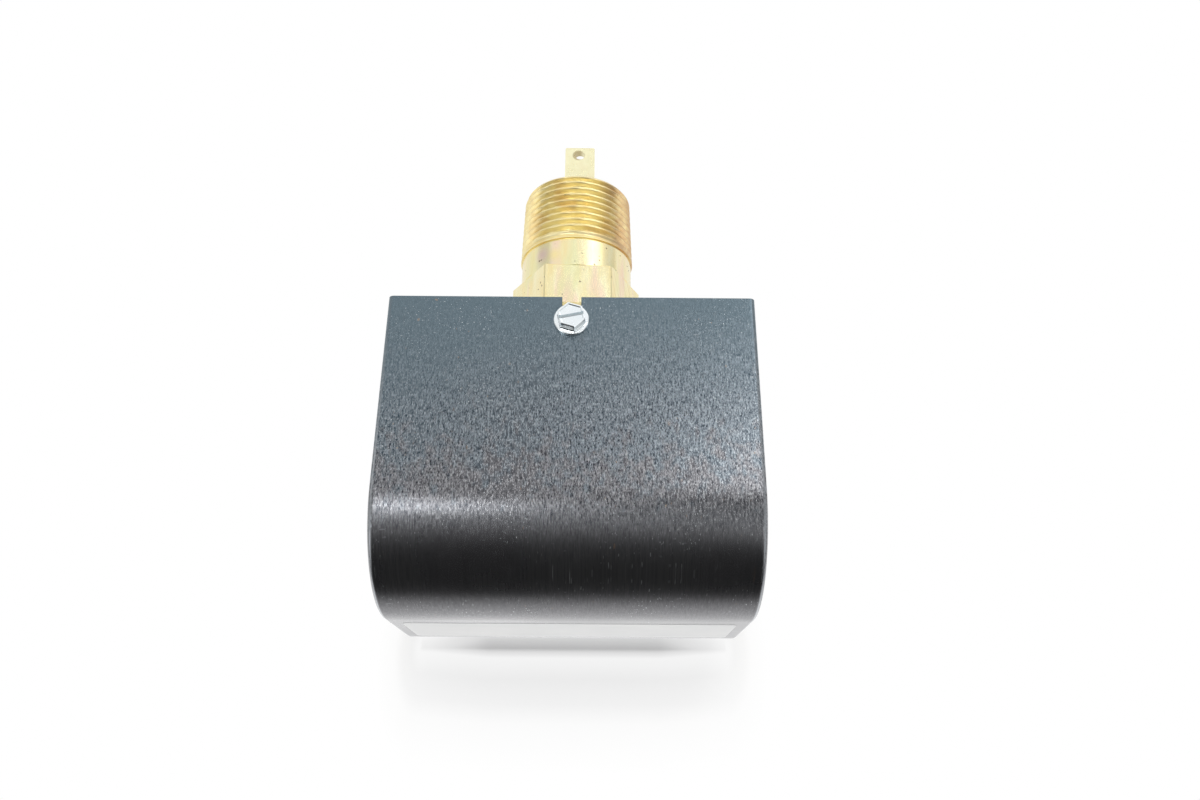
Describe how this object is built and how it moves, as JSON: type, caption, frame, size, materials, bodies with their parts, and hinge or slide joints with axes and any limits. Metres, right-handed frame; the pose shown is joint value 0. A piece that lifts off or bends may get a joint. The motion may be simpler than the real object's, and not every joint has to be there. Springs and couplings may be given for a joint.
{
  "type": "paddle flow switch",
  "caption": "Paddle flow switch with a wrapped sheet-metal enclosure, a taper-threaded brass fitting and a sprung arm that works a snap switch.",
  "frame": {"origin": "centre of the pipe thread's free end, on the fitting's axis", "axes": "+Y out of the pipe thread along the fitting's axis, +Z the enclosure's front, which faces up as the part lies on its back, +X its right side"},
  "size_m": [0.0926, 0.1537, 0.086],
  "materials": {
    "black_paint": "satin, finely brushed",
    "label": "satin",
    "zinc": "bright zinc",
    "yellow_zinc": "yellow chromate zinc",
    "brass": "turned",
    "arm_brass": "rolled",
    "steel": "bright",
    "gasket": "matte",
    "bronze": "satin",
    "case_plastic": "moulded",
    "lid_plastic": "moulded",
    "plunger_plastic": "moulded",
    "fibre": "pressed",
    "ground_green": "green plated",
    "spring_steel": "bright"
  },
  "bodies": {
    "housing": {"base_plate": "yellow_zinc", "left_end_plate": "yellow_zinc", "right_end_plate": "yellow_zinc", "end_plate_rivets": "steel", "pipe_fitting": "brass", "fitting_gasket": "gasket", "fitting_locknut": "brass", "bellows": "bronze", "pivot_pin": "steel", "range_bracket": "zinc", "limit_bracket": "zinc", "switch_bracket": "zinc", "insulating_sheet": "fibre", "switch_case": "case_plastic", "switch_lid": "lid_plastic", "switch_terminals": "brass", "terminal_screws": "zinc", "switch_mounting_screws": "zinc", "switch_mounting_nuts": "zinc", "bracket_screws": "zinc", "ground_screw": "ground_green"},
    "cover": {"cover": "black_paint", "cover_label": "label"},
    "cover_screw": {"cover_screw": "zinc"},
    "arm": {"paddle_arm": "arm_brass", "arm_rod": "steel", "switch_lever": "zinc", "spring_seat": "brass"},
    "plunger": {"switch_plunger": "plunger_plastic"},
    "range_screw": {"range_screw": "brass", "range_screw_clip": "spring_steel"},
    "range_nut": {"range_nut": "brass", "range_spring": "spring_steel"}
  },
  "joints": [
    {"name": "cover_slide", "type": "slide", "parent": "housing", "child": "cover", "axis": [0, -1, 0], "range_m": [0, 0.09]},
    {"name": "cover_screw_lift", "type": "slide", "parent": "housing", "child": "cover_screw", "axis": [0, 0, 1], "range_m": [0, 0.003]},
    {"name": "arm_pivot", "type": "hinge", "parent": "housing", "child": "arm", "pos_m": [0, -0.0413, 0], "axis": [-1, 0, 0], "range_deg": [0, 3.5], "stiffness_Nm_per_rad": 1.6, "springref_deg": -6.88},
    {"name": "plunger_slide", "type": "slide", "parent": "housing", "child": "plunger", "axis": [0, 0, 1], "range_m": [0, 0.002]},
    {"name": "range_screw_turn", "type": "hinge", "parent": "housing", "child": "range_screw", "pos_m": [0.014, -0.0733, 0.0265], "axis": [0, 0, 1], "range_deg": [-720, 720]},
    {"name": "range_nut_slide", "type": "slide", "parent": "housing", "child": "range_nut", "axis": [0, 0, 1], "range_m": [-0.0015, 0.0015], "deforming": ["range_spring"]}
  ],
  "couplings": [
    {"joint": "plunger_slide", "follows": "arm_pivot", "m_per_rad": 0.032},
    {"joint": "range_screw_turn", "follows": "range_nut_slide", "rad_per_m": 7854}
  ]
}
